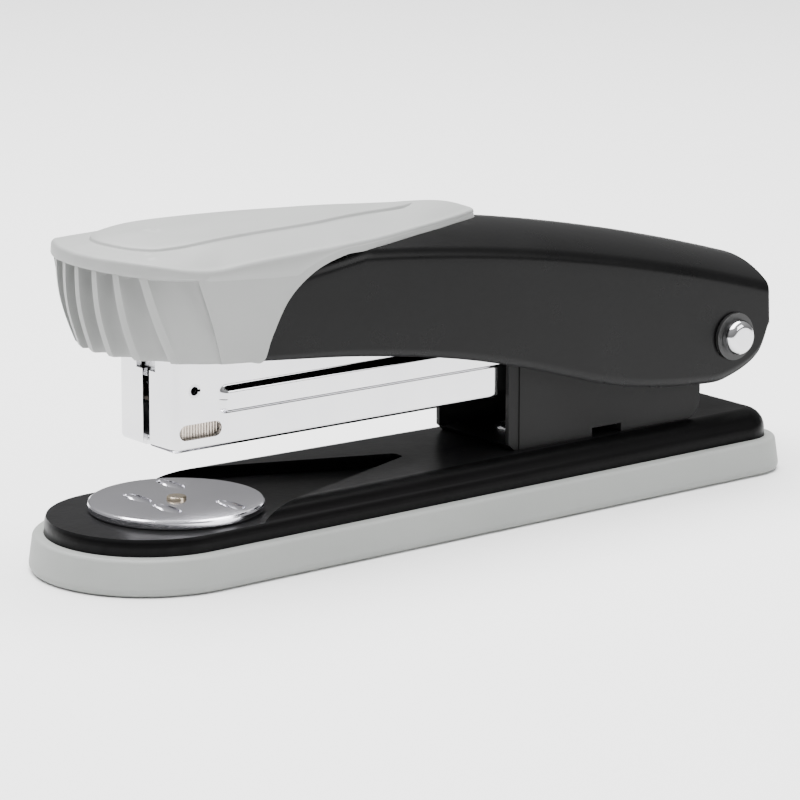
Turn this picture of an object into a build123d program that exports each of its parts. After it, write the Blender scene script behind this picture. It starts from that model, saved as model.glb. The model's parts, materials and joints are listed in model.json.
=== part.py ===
from build123d import *
import os
from math import acos, atan2, cos, hypot, radians, sin, sqrt

# A half-strip desk stapler in millimetres: +X runs from the nose to the hinge, +Y across, +Z up.
# The origin is on the table under the middle of the base.  The handle is drawn level, as when it
# is pressed home, and is then raised about the hinge pin to its place at rest.

# ---------------------------------------------------------------- driving dimensions: base
base_length = 139.6
base_front_half_width = 18.66
base_rear_half_width = 15.3
base_rear_corner = 8.0
boot_height = 5.8
boot_floor = 1.6
boot_rim = 2.5
boot_draft = 8.0
boot_foot_round = 1.2
boot_rim_round = 0.7
plate_sheet = 1.2
plate_top = 10.4
nose_top = 8.4
plate_edge_round = 3.4
plate_gap = 0.1
wedge_tip_x = -3.0
wedge_tip_half_width = 1.2
wedge_spread = 0.378

# ---------------------------------------------------------------- driving dimensions: anvil
anvil_x = -46.1
anvil_radius = 13.65
anvil_thickness = 1.45
anvil_bevel = 0.35
anvil_lift_gap = 0.05
slot_pitch = 4.5
slot_length = 7.2
slot_width = 2.3
slot_depth = 0.9
front_slot_y = 3.96
rear_slot_y = 7.96
spindle_head_radius = 1.55
spindle_head_height = 0.5
spindle_neck_radius = 1.1
spindle_shoulder_radius = 2.4
spindle_tail_radius = 1.2
button_radius = 6.5
button_bottom = 0.5
button_thickness = 1.9
button_gap = 0.5
anvil_spring_radius = 3.6
anvil_spring_wire = 0.5
anvil_spring_turns = 3

# ---------------------------------------------------------------- driving dimensions: hinge
pivot_x = 57.0
pivot_z = 24.0
pin_radius = 2.0
pin_head_radius = 2.95
pin_head_height = 1.9
running_gap = 0.05
side_gap = 0.1
washer_radius = 3.95
washer_thickness = 0.55
spacer_radius = 3.2

# ---------------------------------------------------------------- driving dimensions: bracket
ear_half_width = 9.5
ear_sheet = 1.0
ear_front_x = 11.9
ear_rear_x = 52.5
ear_front_top = 28.0
ear_toe_length = 1.3
ear_toe_height = 1.2
ear_lug_radius = 5.6
ear_heel_round = 3.0
ear_fold_width = 2.1
ear_fold_depth = 0.2
window_front_x = 29.2
window_length = 6.2
window_height = 1.5
bracket_rivet_xs = (20.0, 45.0)
rivet_shank = 1.5
rivet_head = 2.6
rivet_head_height = 0.9
lift_spring_sheet = 0.6
lift_spring_half_width = 4.0
lift_spring_length = 33.0
lift_spring_preload = 0.3

# ---------------------------------------------------------------- driving dimensions: magazine
magazine_half_width = 7.5
magazine_wall = 0.9
magazine_front_x = -51.5
magazine_rear_x = 11.0
magazine_bottom = 19.0
magazine_side_top = 31.5
magazine_nose_top = 35.0
nose_hood_length = 8.0
nose_hood_slope = 5.0
nose_round = 1.2
slit_width = 1.8
slit_notch_width = 5.0
slit_notch_drop = 4.0
exit_length = 1.1
rib_front_x = -43.3
rib_height = 0.8
rib_low = 24.1
rib_high = 28.7
rib_low_slope = 0.4
rib_high_slope = 1.3
view_slot_front_x = -50.6
view_slot_length = 7.8
view_slot_height = 2.4
view_slot_z = 22.1
stamp_boxes = ((-35.0, 8.0), (-24.0, 7.0))
stamp_bottom = 20.5
stamp_height = 3.0
stamp_line = 0.3
stamp_depth = 0.15
roll_pin_x = -47.8
roll_pin_z = 28.4
roll_pin_radius = 1.1
roll_pin_wall = 0.4
carrier_half_width = 6.5
carrier_sheet = 0.9
carrier_front_x = 3.0
carrier_top = 28.5
carrier_lug_radius = 4.6
carrier_floor_rear_x = 46.0
bridge_x = 24.0
bridge_length = 8.0
carrier_rivet_xs = (5.5, 8.5)
small_shank = 0.9
small_head = 1.5
small_head_height = 0.5
dome_share = 0.7

# ---------------------------------------------------------------- driving dimensions: staples
staple_crown = 12.7
staple_leg = 6.0
staple_wire = 0.5
staple_count = 50
staple_pitch = 0.52
strip_gap = 0.15
strip_lift = 0.1
rail_gap = 0.15
rail_sheet = 0.8
rail_rear_x = 1.0
rail_slot_half_width = 1.5
rail_post_x = -31.0
rod_radius = 0.9
rod_z = 22.5
pusher_length = 8.0
pusher_roof = 2.0
pusher_tongue = 1.4
pusher_tongue_drop = 0.5
pusher_spring_radius = 1.6
pusher_spring_wire = 0.4
pusher_spring_turns = 10

# ---------------------------------------------------------------- driving dimensions: handle
handle_tilt = 5.5
handle_half_width = 12.5
handle_sheet = 1.1
handle_edge_round = 2.5
crest_x = -11.4
crest_z = 43.6
crest_radius = 390.0
crown_sagitta = 4.1
handle_front_x = -53.5
handle_front_top = 37.0
handle_slope_x = -16.0
handle_slope_rise = 2.4
handle_low_z = 23.5
handle_rear_x = 64.7
handle_rear_low_z = 25.9
handle_rear_lean = 1.1
skirt_start_x = -20.6
skirt_points = ((-2.6, 22.5), (13.3, 20.3), (34.0, 16.5), (50.7, 16.2), (57.0, 17.4), (62.6, 20.8))
seam_foot_x = -39.3
seam_middle = (-34.9, 33.4)
seam_top_z = 39.3
rear_wall_low_z = 26.0
cap_step = 0.5
cap_step_top = 0.8
driver_gap = 0.2
driver_thickness = 0.6
driver_half_width = 6.0
driver_tip_z = 19.2
driver_tab_z = 34.9
leaf_end_gap = 0.8
driver_tab_length = 8.8
leaf_sheet = 0.6
leaf_half_width = 4.5
leaf_seat_z = 41.7
leaf_seat_front_x = -25.0
leaf_seat_rear_x = -8.0
leaf_stud_xs = (-20.0, -13.5)
spring_stud_x = -4.0
driver_rivet_xs = (-47.0, -44.0)
return_spring_root = 8.0
return_spring_half_width = 4.0
return_spring_tip = (28.0, 26.2)

# ---------------------------------------------------------------- driving dimensions: head cap
cap_front_x = -64.0
cap_lip_half_width = 15.8
cap_lip_low_z = 36.6
cap_lip_z = 39.0
cap_lip_side_x = -54.5
cap_lip_turn = (2.2, 5.3)
cap_lip_corner = (4.4, 1.2)
cap_lip_corner_shift = (0.3, 0.2)
cap_rear_half_width = 12.95
cap_foot_z = 23.5
cap_foot_radius = 14.0
cap_foot_x = -47.7
cap_wall = 3.0
cap_neck_x = -25.0
cap_tip_x = 10.0
cap_tip_half_width = 2.5
cap_tongue_margin = 0.5
roof_nose = (-65.0, 37.8, 11.0, 38.8)
roof_neck = (-25.0, 38.0, 6.5, 45.4)
roof_tip = (10.0, 40.0, 2.0, 45.5)
groove_count = 8
groove_pitch = 4.05
groove_width = 3.0
groove_depth = 1.5

# ---------------------------------------------------------------- values that follow
front_x = -base_length / 2
rear_x = base_length / 2
front_centre_x = front_x + base_front_half_width
rear_centre_x = rear_x - base_rear_corner
rear_centre_y = base_rear_half_width - base_rear_corner
web_top = plate_top + ear_sheet
anvil_top = nose_top + anvil_lift_gap + anvil_thickness
magazine_floor = magazine_bottom + magazine_wall
magazine_inside = magazine_half_width - magazine_wall
nose_inside_x = magazine_front_x + magazine_wall
strip_front_x = nose_inside_x + driver_gap + driver_thickness + strip_gap
strip_rear_x = strip_front_x + staple_count * staple_pitch
staple_top = magazine_floor + strip_lift + staple_leg
rail_half_width = staple_crown / 2 - staple_wire - rail_gap
rail_top = staple_top - staple_wire - rail_gap
pusher_front_x = strip_rear_x + side_gap
pusher_rear_x = pusher_front_x + pusher_length
pivot_axis = Axis((pivot_x, 0, pivot_z), (0, 1, 0))
wide = 40.0
tall = 80.0


def footprint(inset, height):
    """Outline of the base, drawn inward by inset, at a height: a round nose and a tapered tail."""
    nose = base_front_half_width - inset
    corner = base_rear_corner - inset
    span = hypot(rear_centre_x - front_centre_x, rear_centre_y)
    turn = atan2(rear_centre_y, rear_centre_x - front_centre_x) + acos((nose - corner) / span)
    nose_end = (front_centre_x + nose * cos(turn), nose * sin(turn))
    tail_end = (rear_centre_x + corner * cos(turn), rear_centre_y + corner * sin(turn))
    tail_mid = (rear_centre_x + corner * cos(turn / 2), rear_centre_y + corner * sin(turn / 2))
    tail_low = (rear_centre_x + corner, rear_centre_y)
    with BuildSketch(Plane.XY.offset(height)) as outline:
        with BuildLine():
            ThreePointArc(nose_end, (front_centre_x - nose, 0), (nose_end[0], -nose_end[1]))
            Line((nose_end[0], -nose_end[1]), (tail_end[0], -tail_end[1]))
            ThreePointArc(
                (tail_end[0], -tail_end[1]), (tail_mid[0], -tail_mid[1]), (tail_low[0], -tail_low[1])
            )
            Line((tail_low[0], -tail_low[1]), tail_low)
            ThreePointArc(tail_low, tail_mid, tail_end)
            Line(tail_end, nose_end)
        make_face()
    return outline.sketch


def disc(x, y, radius, height):
    """Round face about a vertical axis."""
    with BuildSketch(Plane.XY.offset(height)) as face:
        with Locations((x, y)):
            Circle(radius)
    return face.sketch


def cross_disc(x, z, radius, y=0.0):
    """Round face about an axis that runs across, at the given y."""
    with BuildSketch(Plane.XZ.offset(-y)) as face:
        with Locations((x, z)):
            Circle(radius)
    return face.sketch


def side_face(*corners):
    """Face in the middle plane from its (x, z) corners."""
    with BuildSketch(Plane.XZ) as face:
        with BuildLine():
            Polyline(*corners, close=True)
        make_face()
    return face.sketch


def side_box(x_low, x_high, z_low, z_high):
    """Rectangle in the middle plane."""
    return side_face((x_low, z_low), (x_high, z_low), (x_high, z_high), (x_low, z_high))


def tube(x, z, outer, inner, y_low, length):
    """Ring about an axis that runs across, from y_low towards +Y."""
    with BuildPart() as ring:
        extrude(cross_disc(x, z, outer, y_low), amount=-length)
        extrude(cross_disc(x, z, inner, y_low), amount=-length, mode=Mode.SUBTRACT)
    return ring.part


def rivet(x, y, shank, head, head_height, low, high):
    """Rivet along Z with a domed head on each end of the stack between low and high."""
    with BuildPart() as body:
        extrude(disc(x, y, shank, low), amount=high - low)
        extrude(disc(x, y, head, high), amount=head_height)
        fillet(body.faces().sort_by(Axis.Z)[-1].edges(), head_height * dome_share)
        extrude(disc(x, y, head, low - head_height), amount=head_height)
    return body.part


def coil(radius, wire, height, turns):
    """Round wire spring that stands on the origin along Z."""
    with BuildPart() as spring:
        with BuildLine() as path:
            Helix(pitch=height / turns, height=height, radius=radius)
        with BuildSketch(path.line ^ 0):
            Circle(wire / 2)
        sweep()
    return spring.part


# ================================================================ base
with BuildPart() as base_boot:
    extrude(footprint(0, 0), amount=boot_height, taper=boot_draft)
    fillet(base_boot.faces().sort_by(Axis.Z)[0].edges(), boot_foot_round)
    fillet(base_boot.faces().sort_by(Axis.Z)[-1].edges(), boot_rim_round)
    extrude(footprint(boot_rim, boot_floor), amount=boot_height, mode=Mode.SUBTRACT)
    extrude(disc(anvil_x, 0, button_radius + button_gap, 0), amount=boot_floor, mode=Mode.SUBTRACT)


def wedge(outset):
    """Sunken area from the nose back to a narrow tip, drawn outward by outset."""
    reach = wedge_tip_x - front_x + wide
    tip = wedge_tip_half_width + outset
    with BuildSketch(Plane.XY.offset(nose_top - outset)) as area:
        with BuildLine():
            Polyline(
                (wedge_tip_x + outset, tip),
                (wedge_tip_x + outset - reach, tip + reach * wedge_spread),
                (wedge_tip_x + outset - reach, -tip - reach * wedge_spread),
                (wedge_tip_x + outset, -tip),
                close=True,
            )
        make_face()
        fillet(area.vertices().group_by(Axis.X)[-1], wedge_tip_half_width * 0.9)
    return area.sketch


def plate_block(inset):
    """Solid form of the pressed plate, or of the space under it when drawn inward."""
    foot = footprint(boot_rim + plate_gap + inset, boot_floor)
    with BuildPart() as rear:
        extrude(foot, amount=plate_top - inset - boot_floor)
        fillet(rear.faces().sort_by(Axis.Z)[-1].edges(), plate_edge_round - inset)
        extrude(wedge(inset), amount=tall, mode=Mode.SUBTRACT)
    with BuildPart() as block:
        extrude(foot, amount=nose_top - inset - boot_floor)
        fillet(block.faces().sort_by(Axis.Z)[-1].edges(), plate_edge_round - inset)
        add(rear.part)
    return block.part


with BuildPart() as base_plate:
    add(plate_block(0))
    add(plate_block(plate_sheet), mode=Mode.SUBTRACT)
    extrude(
        disc(anvil_x, 0, spindle_shoulder_radius + running_gap, boot_floor),
        amount=plate_top,
        mode=Mode.SUBTRACT,
    )
    for rivet_x in bracket_rivet_xs:
        extrude(disc(rivet_x, 0, rivet_shank, boot_floor), amount=plate_top, mode=Mode.SUBTRACT)

# ---------------------------------------------------------------- anvil
slot_centres = (
    (anvil_x - slot_pitch, front_slot_y),
    (anvil_x - slot_pitch, -front_slot_y),
    (anvil_x + slot_pitch, rear_slot_y),
    (anvil_x + slot_pitch, -rear_slot_y),
)
with BuildPart() as anvil_disc:
    extrude(disc(anvil_x, 0, anvil_radius, anvil_top - anvil_thickness), amount=anvil_thickness)
    chamfer(anvil_disc.faces().sort_by(Axis.Z)[-1].edges(), anvil_bevel)
    with BuildSketch(Plane.XY.offset(anvil_top)) as slots:
        for slot_x, slot_y in slot_centres:
            with BuildLine():
                ThreePointArc(
                    (slot_x, slot_y - slot_length / 2),
                    (slot_x + slot_width / 2, slot_y),
                    (slot_x, slot_y + slot_length / 2),
                )
                ThreePointArc(
                    (slot_x, slot_y + slot_length / 2),
                    (slot_x - slot_width / 2, slot_y),
                    (slot_x, slot_y - slot_length / 2),
                )
            make_face()
    extrude(amount=-slot_depth, mode=Mode.SUBTRACT)
    extrude(
        disc(anvil_x, 0, spindle_neck_radius + running_gap, nose_top),
        amount=tall,
        mode=Mode.SUBTRACT,
    )

button_top = button_bottom + button_thickness
with BuildPart() as anvil_spindle:
    shoulder_top = anvil_top - anvil_thickness - anvil_lift_gap / 2
    extrude(disc(anvil_x, 0, spindle_tail_radius, button_bottom), amount=button_thickness)
    extrude(disc(anvil_x, 0, spindle_shoulder_radius, button_top), amount=shoulder_top - button_top)
    extrude(disc(anvil_x, 0, spindle_neck_radius, shoulder_top), amount=anvil_top - shoulder_top)
    extrude(
        disc(anvil_x, 0, spindle_head_radius, anvil_top + anvil_lift_gap / 2),
        amount=spindle_head_height,
    )
    fillet(anvil_spindle.faces().sort_by(Axis.Z)[-1].edges(), spindle_head_height * 0.6)
    extrude(disc(anvil_x, 0, spindle_neck_radius, anvil_top), amount=spindle_head_height / 2)

with BuildPart() as anvil_button:
    extrude(disc(anvil_x, 0, button_radius, button_bottom), amount=button_thickness)
    fillet(anvil_button.faces().sort_by(Axis.Z)[0].edges(), button_thickness * 0.3)
    extrude(
        disc(anvil_x, 0, spindle_tail_radius, button_bottom), amount=button_thickness, mode=Mode.SUBTRACT
    )

with BuildPart() as anvil_spring:
    spring_low = button_top + anvil_spring_wire / 2 + running_gap
    spring_high = nose_top - plate_sheet - anvil_spring_wire / 2 - running_gap
    add(
        coil(anvil_spring_radius, anvil_spring_wire, spring_high - spring_low, anvil_spring_turns)
        .moved(Location((anvil_x, 0, spring_low)))
    )

# ---------------------------------------------------------------- bracket
with BuildPart() as pivot_bracket:
    with BuildSketch(Plane.XZ) as ear:
        with BuildLine():
            Polyline(
                (ear_front_x + ear_toe_length, plate_top),
                (ear_front_x, plate_top + ear_toe_height),
                (ear_front_x, ear_front_top),
                (pivot_x, pivot_z + ear_lug_radius),
                (pivot_x, pivot_z - ear_lug_radius),
                (ear_rear_x, pivot_z - ear_lug_radius),
                (ear_rear_x, plate_top),
                close=True,
            )
        make_face()
        fillet(
            ear.vertices().sort_by_distance((ear_rear_x, 0, pivot_z - ear_lug_radius))[0],
            ear_heel_round,
        )
        with Locations((pivot_x, pivot_z)):
            Circle(ear_lug_radius)
    extrude(amount=ear_half_width, both=True)
    extrude(
        side_box(-wide, tall, web_top, tall),
        amount=ear_half_width - ear_sheet,
        both=True,
        mode=Mode.SUBTRACT,
    )
    extrude(
        side_box(window_front_x, window_front_x + window_length, 0, plate_top + window_height),
        amount=wide,
        both=True,
        mode=Mode.SUBTRACT,
    )
    fold = side_box(0, ear_front_x + ear_fold_width, 0, tall)
    for side in (1, -1):
        with BuildSketch(Plane.XZ.offset(side * ear_half_width)) as strip:
            add(fold)
        extrude(strip.sketch, amount=-side * ear_fold_depth, mode=Mode.SUBTRACT)
    extrude(cross_disc(pivot_x, pivot_z, pin_radius), amount=wide, both=True, mode=Mode.SUBTRACT)
    for rivet_x in bracket_rivet_xs:
        extrude(disc(rivet_x, 0, rivet_shank, 0), amount=web_top, mode=Mode.SUBTRACT)

plate_under = plate_top - plate_sheet
lift_spring_top = web_top + lift_spring_sheet
with BuildPart() as bracket_rivets:
    front_rivet_x, rear_rivet_x = bracket_rivet_xs
    add(rivet(front_rivet_x, 0, rivet_shank, rivet_head, rivet_head_height, plate_under, web_top))
    add(rivet(rear_rivet_x, 0, rivet_shank, rivet_head, rivet_head_height, plate_under, lift_spring_top))

with BuildPart() as lift_spring:
    heel_x = ear_rear_x - ear_toe_length
    bend_x = rear_rivet_x - rivet_head - 2 * lift_spring_sheet
    tip_x = heel_x - lift_spring_length
    tip_z = magazine_floor - lift_spring_preload
    with BuildSketch(Plane.XZ):
        with BuildLine() as leaf:
            Line((heel_x, web_top), (bend_x, web_top))
            Spline(
                (bend_x, web_top),
                (tip_x, tip_z - lift_spring_sheet),
                tangents=((-1, 0), (-1, 0)),
            )
            Line((tip_x, tip_z - lift_spring_sheet), (tip_x, tip_z))
            Spline(
                (tip_x, tip_z),
                (bend_x, lift_spring_top),
                tangents=((1, 0), (1, 0)),
            )
            Line((bend_x, lift_spring_top), (heel_x, lift_spring_top))
            Line((heel_x, lift_spring_top), (heel_x, web_top))
        make_face()
    extrude(amount=lift_spring_half_width, both=True)
    extrude(disc(rear_rivet_x, 0, rivet_shank, 0), amount=tall, mode=Mode.SUBTRACT)

# ---------------------------------------------------------------- hinge pin
washer_inside = handle_half_width + running_gap
head_inside = washer_inside + washer_thickness + running_gap
with BuildPart() as pivot_pin:
    extrude(cross_disc(pivot_x, pivot_z, pin_radius), amount=head_inside, both=True)
    extrude(cross_disc(pivot_x, pivot_z, pin_head_radius, head_inside), amount=-pin_head_height)
    extrude(cross_disc(pivot_x, pivot_z, pin_head_radius, -head_inside), amount=pin_head_height)
    crowns = pivot_pin.faces().sort_by(Axis.Y)
    fillet(crowns[0].edges() + crowns[-1].edges(), pin_head_height * dome_share)

with BuildPart() as pivot_washers:
    washer_bore = pin_radius + running_gap
    for low in (washer_inside, -washer_inside - washer_thickness):
        add(tube(pivot_x, pivot_z, washer_radius, washer_bore, low, washer_thickness))

inner_ring_low = carrier_half_width + side_gap
inner_ring_length = ear_half_width - ear_sheet - side_gap - inner_ring_low
outer_ring_low = ear_half_width + side_gap
outer_ring_length = handle_half_width - handle_sheet - side_gap - outer_ring_low
with BuildPart() as pivot_spacers:
    for low, length in ((inner_ring_low, inner_ring_length), (outer_ring_low, outer_ring_length)):
        add(tube(pivot_x, pivot_z, spacer_radius, washer_bore, low, length))
        add(tube(pivot_x, pivot_z, spacer_radius, washer_bore, -low - length, length))

with BuildPart() as pivot_sleeve:
    sleeve_half = carrier_half_width - carrier_sheet - side_gap
    add(tube(pivot_x, pivot_z, spacer_radius, washer_bore, -sleeve_half, 2 * sleeve_half))

# ================================================================ magazine
hood_rear_x = magazine_front_x + nose_hood_length
rib_outer = magazine_half_width + rib_height


def rib(depth, front):
    """Raised bead along both sides, drawn inward by depth, from front to the rear end."""
    inner, outer = magazine_inside - depth, rib_outer - depth
    with BuildPart() as bead:
        for side in (1, -1):
            with BuildSketch(Plane.YZ.offset(front)):
                with BuildLine():
                    Polyline(
                        (side * inner, rib_low + depth / 2),
                        (side * (magazine_half_width - depth), rib_low + depth / 2),
                        (side * outer, rib_low + rib_low_slope + depth / 2),
                        (side * outer, rib_high - rib_high_slope - depth / 2),
                        (side * (magazine_half_width - depth), rib_high - depth / 2),
                        (side * inner, rib_high - depth / 2),
                        close=True,
                    )
                make_face()
        extrude(amount=magazine_rear_x - front)
    return bead.part


with BuildPart() as magazine_channel:
    extrude(
        side_face(
            (magazine_front_x, magazine_bottom),
            (magazine_rear_x, magazine_bottom),
            (magazine_rear_x, magazine_side_top),
            (hood_rear_x + nose_hood_slope, magazine_side_top),
            (hood_rear_x, magazine_nose_top),
            (magazine_front_x, magazine_nose_top),
        ),
        amount=magazine_half_width,
        both=True,
    )
    nose_edges = magazine_channel.edges().filter_by(Axis.Z).group_by(Axis.X)[0]
    fillet(nose_edges, nose_round)
    add(rib(0, rib_front_x))
    extrude(
        side_box(nose_inside_x, tall, magazine_floor, tall),
        amount=magazine_inside,
        both=True,
        mode=Mode.SUBTRACT,
    )
    add(rib(magazine_wall, rib_front_x + magazine_wall), mode=Mode.SUBTRACT)
    extrude(
        side_box(nose_inside_x, nose_inside_x + exit_length, 0, tall),
        amount=magazine_inside,
        both=True,
        mode=Mode.SUBTRACT,
    )
    extrude(
        side_box(magazine_front_x - 1, nose_inside_x, 0, magazine_nose_top - slit_notch_drop),
        amount=slit_width / 2,
        both=True,
        mode=Mode.SUBTRACT,
    )
    extrude(
        side_box(magazine_front_x - 1, nose_inside_x, magazine_nose_top - slit_notch_drop, tall),
        amount=slit_notch_width / 2,
        both=True,
        mode=Mode.SUBTRACT,
    )
    with BuildSketch(Plane.XZ) as windows:
        with Locations((view_slot_front_x + view_slot_length / 2, view_slot_z)):
            SlotOverall(view_slot_length, view_slot_height)
        with Locations((roll_pin_x, roll_pin_z)):
            Circle(roll_pin_radius)
    extrude(amount=wide, both=True, mode=Mode.SUBTRACT)
    with BuildSketch(Plane.XZ.offset(magazine_half_width)) as stamps:
        for stamp_x, stamp_length in stamp_boxes:
            with Locations((stamp_x + stamp_length / 2, stamp_bottom + stamp_height / 2)):
                Rectangle(stamp_length, stamp_height)
                Rectangle(
                    stamp_length - 2 * stamp_line, stamp_height - 2 * stamp_line, mode=Mode.SUBTRACT
                )
    extrude(amount=-stamp_depth, mode=Mode.SUBTRACT)
    for rivet_x in carrier_rivet_xs:
        extrude(disc(rivet_x, 0, small_shank, 0), amount=magazine_floor, mode=Mode.SUBTRACT)

carrier_floor_top = magazine_floor + carrier_sheet
with BuildPart() as magazine_carrier:
    with BuildSketch(Plane.XZ):
        with BuildLine():
            Polyline(
                (carrier_front_x, magazine_floor),
                (carrier_front_x, carrier_top),
                (pivot_x, carrier_top),
                (pivot_x, magazine_floor),
                close=True,
            )
        make_face()
        with Locations((pivot_x, pivot_z)):
            Circle(carrier_lug_radius)
    extrude(amount=carrier_half_width, both=True)
    extrude(
        side_face(
            (-wide, carrier_floor_top),
            (carrier_floor_rear_x, carrier_floor_top),
            (carrier_floor_rear_x, 0),
            (tall, 0),
            (tall, tall),
            (-wide, tall),
        ),
        amount=carrier_half_width - carrier_sheet,
        both=True,
        mode=Mode.SUBTRACT,
    )
    extrude(
        side_box(bridge_x, bridge_x + bridge_length, carrier_top - carrier_sheet, carrier_top),
        amount=carrier_half_width,
        both=True,
    )
    extrude(
        cross_disc(pivot_x, pivot_z, pin_radius + running_gap), amount=wide, both=True, mode=Mode.SUBTRACT
    )
    for rivet_x in carrier_rivet_xs:
        extrude(disc(rivet_x, 0, small_shank, 0), amount=tall, mode=Mode.SUBTRACT)

with BuildPart() as carrier_rivets:
    for rivet_x in carrier_rivet_xs:
        add(
            rivet(
                rivet_x, 0, small_shank, small_head, small_head_height, magazine_bottom, carrier_floor_top
            )
        )

with BuildPart() as front_roll_pin:
    add(
        tube(
            roll_pin_x,
            roll_pin_z,
            roll_pin_radius,
            roll_pin_radius - roll_pin_wall,
            -magazine_half_width,
            2 * magazine_half_width,
        )
    )
    extrude(
        side_box(roll_pin_x, tall, roll_pin_z - roll_pin_wall / 2, roll_pin_z + roll_pin_wall / 2),
        amount=wide,
        both=True,
        mode=Mode.SUBTRACT,
    )

# ---------------------------------------------------------------- staples and their feed
rail_front_x = strip_front_x + staple_wire
with BuildPart() as staple_rail:
    extrude(
        side_box(rail_front_x, rail_rear_x, magazine_floor, rail_top), amount=rail_half_width, both=True
    )
    for hollow_low, hollow_high in (
        (rail_front_x + rail_sheet, rail_post_x - rail_sheet),
        (rail_post_x, rail_rear_x - rail_sheet),
    ):
        extrude(
            side_box(hollow_low, hollow_high, magazine_floor, rail_top - rail_sheet),
            amount=rail_half_width - rail_sheet,
            both=True,
            mode=Mode.SUBTRACT,
        )
    extrude(
        side_box(rail_post_x + rail_sheet, rail_rear_x - rail_sheet, magazine_floor, tall),
        amount=rail_slot_half_width,
        both=True,
        mode=Mode.SUBTRACT,
    )
    with BuildSketch(Plane.YZ.offset(rail_post_x - rail_sheet)) as rod_bore:
        with Locations((0, rod_z)):
            Circle(rod_radius)
    extrude(amount=rail_rear_x - rail_post_x + rail_sheet, mode=Mode.SUBTRACT)

with BuildPart() as staple_strip:
    extrude(
        side_box(strip_front_x, strip_rear_x, staple_top - staple_leg, staple_top),
        amount=staple_crown / 2,
        both=True,
    )
    extrude(
        side_box(strip_front_x, strip_rear_x, 0, staple_top - staple_wire),
        amount=staple_crown / 2 - staple_wire,
        both=True,
        mode=Mode.SUBTRACT,
    )

with BuildPart() as guide_rod:
    with BuildSketch(Plane.YZ.offset(rail_post_x - rail_sheet)):
        with Locations((0, rod_z)):
            Circle(rod_radius)
    extrude(amount=rail_rear_x - rail_post_x + rail_sheet)

with BuildPart() as pusher:
    extrude(
        side_box(pusher_front_x, pusher_rear_x, magazine_floor + side_gap, staple_top + pusher_roof),
        amount=staple_crown / 2,
        both=True,
    )
    extrude(
        side_box(pusher_front_x, pusher_rear_x, 0, rail_top + running_gap),
        amount=rail_half_width + running_gap,
        both=True,
        mode=Mode.SUBTRACT,
    )
    fillet(pusher.faces().sort_by(Axis.Z)[-1].edges().filter_by(Axis.Y), pusher_roof * 0.6)
    tongue_low = rod_z - rod_radius - running_gap - pusher_tongue_drop
    extrude(
        side_box(
            pusher_rear_x - pusher_tongue, pusher_rear_x, tongue_low, rail_top + 2 * running_gap
        ),
        amount=rail_slot_half_width - side_gap,
        both=True,
    )
    with BuildSketch(Plane.YZ.offset(pusher_front_x)):
        with Locations((0, rod_z)):
            Circle(rod_radius + running_gap)
    extrude(amount=pusher_length, mode=Mode.SUBTRACT)

with BuildPart() as pusher_spring:
    feed_low = pusher_rear_x + pusher_spring_wire / 2 + running_gap
    feed_high = rail_rear_x - rail_sheet - pusher_spring_wire / 2 - running_gap
    add(
        coil(pusher_spring_radius, pusher_spring_wire, feed_high - feed_low, pusher_spring_turns)
        .moved(Location((feed_low, 0, rod_z), (0, 90, 0)))
    )


# ================================================================ handle, drawn level
def crown(drop, narrow):
    """Ring whose outer wall is the crowned top, lowered by drop and narrowed at each side."""
    half = handle_half_width - narrow
    top = crest_z - drop
    crown_radius = (handle_half_width**2 + crown_sagitta**2) / (2 * crown_sagitta)
    edge = top - crown_radius + sqrt(crown_radius**2 - half**2)
    with BuildPart() as ring:
        with BuildSketch(Plane.YZ.offset(crest_x)) as section:
            with BuildLine():
                ThreePointArc((-half, edge), (0, top), (half, edge))
                Polyline((half, edge), (half, -tall), (-half, -tall), (-half, edge))
            make_face()
            fillet(section.vertices().group_by(Axis.Z)[-1], handle_edge_round - narrow)
        revolve(axis=Axis((crest_x, 0, crest_z - crest_radius), (0, 1, 0)))
    return ring.part


def handle_block(drop, narrow):
    """Filled outside form of the pressed handle."""
    slope_top = crest_z + handle_slope_rise
    with BuildPart() as block:
        with BuildSketch(Plane.XZ):
            with BuildLine():
                Line((handle_front_x, handle_low_z), (skirt_start_x, handle_low_z))
                Spline(
                    (skirt_start_x, handle_low_z),
                    *skirt_points,
                    (handle_rear_x, handle_rear_low_z),
                    tangents=((1, 0), (0, 1)),
                )
                Polyline(
                    (handle_rear_x, handle_rear_low_z),
                    (handle_rear_x - handle_rear_lean, crest_z),
                    (handle_slope_x, slope_top - drop),
                    (handle_front_x, handle_front_top - drop),
                    (handle_front_x, handle_low_z),
                )
            make_face()
        extrude(amount=wide, both=True)
        add(crown(drop, narrow), mode=Mode.INTERSECT)
    return block.part


def crest_at(x):
    """Height of the handle's crown at x, in the middle."""
    return crest_z - (x - crest_x) ** 2 / (2 * crest_radius)


with BuildPart() as under_cap:
    with BuildSketch(Plane.XZ):
        with BuildLine():
            ThreePointArc((seam_foot_x, handle_low_z), seam_middle, (cap_neck_x, seam_top_z))
            Polyline(
                (cap_neck_x, seam_top_z),
                (cap_neck_x, tall),
                (-tall, tall),
                (-tall, 0),
                (seam_foot_x, 0),
                (seam_foot_x, handle_low_z),
            )
        make_face()
    extrude(amount=wide, both=True)

with BuildPart() as handle_core:
    add(handle_block(cap_step_top, cap_step))
    add(under_cap.part, mode=Mode.INTERSECT)

with BuildPart() as handle_form:
    add(handle_block(0, 0))
    add(under_cap.part, mode=Mode.SUBTRACT)
    add(handle_core.part)

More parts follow.
